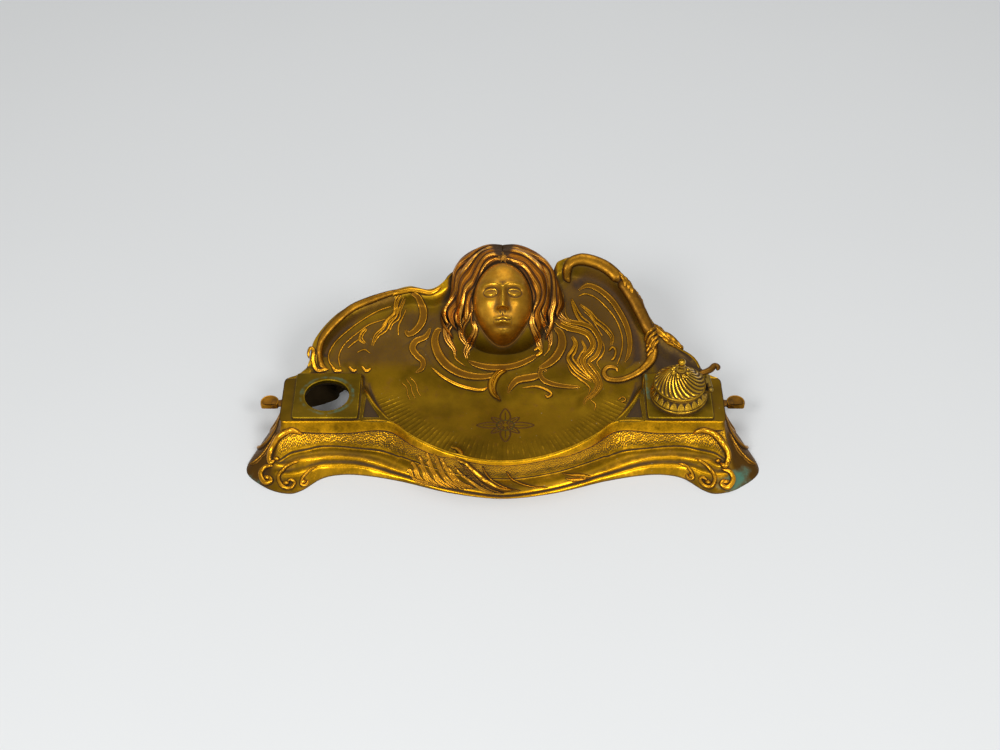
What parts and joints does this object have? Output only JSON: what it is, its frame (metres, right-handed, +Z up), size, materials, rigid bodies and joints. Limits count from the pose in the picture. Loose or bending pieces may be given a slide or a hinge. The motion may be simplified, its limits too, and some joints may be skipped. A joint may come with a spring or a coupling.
{
  "type": "desk inkstand",
  "caption": "Cast gilt brass desk inkstand with a pen dish, winged sloping back with a relief head, an empty well hole and a drop-in well with a fluted hinged lid.",
  "frame": {"origin": "on the table, under the middle of the stand's footprint box", "axes": "+X to the right along the stand, +Y to the back, +Z up"},
  "size_m": [0.38, 0.191, 0.0937],
  "materials": {
    "gilt_bronze": "cast brass, worn gilt high spots over olive-brown patina",
    "plate_bronze": "satin olive patina",
    "copper_bronze": "burnished coppery gilt over red-brown patina",
    "polished_gilt": "bright gilt with dark recesses",
    "screw_brass": "plain turned brass",
    "liner_glass": "clear moulded glass"
  },
  "bodies": {
    "stand": {"stand_casting": "gilt_bronze", "left_well_plate": "plate_bronze", "right_well_plate": "plate_bronze", "plate_screws": "screw_brass", "head_casting": "copper_bronze", "head_screws": "screw_brass", "left_side_lug": "gilt_bronze", "right_side_lug": "gilt_bronze"},
    "inkwell": {"inkwell_collar": "polished_gilt", "inkwell_cup": "plate_bronze", "glass_liner": "liner_glass", "collar_bracket": "polished_gilt", "hinge_pin": "polished_gilt"},
    "lid": {"lid_dome": "polished_gilt", "lid_finial": "polished_gilt", "finial_nut": "screw_brass", "hinge_leaf": "polished_gilt"}
  },
  "joints": [
    {"name": "inkwell_lift", "type": "slide", "parent": "stand", "child": "inkwell", "axis": [0, 0, 1], "range_m": [0, 0.06]},
    {"name": "lid_hinge", "type": "hinge", "parent": "inkwell", "child": "lid", "pos_m": [0.15342, -0.01958, 0.0455], "axis": [-0.0872, 0.9962, 0], "range_deg": [0, 105]}
  ]
}
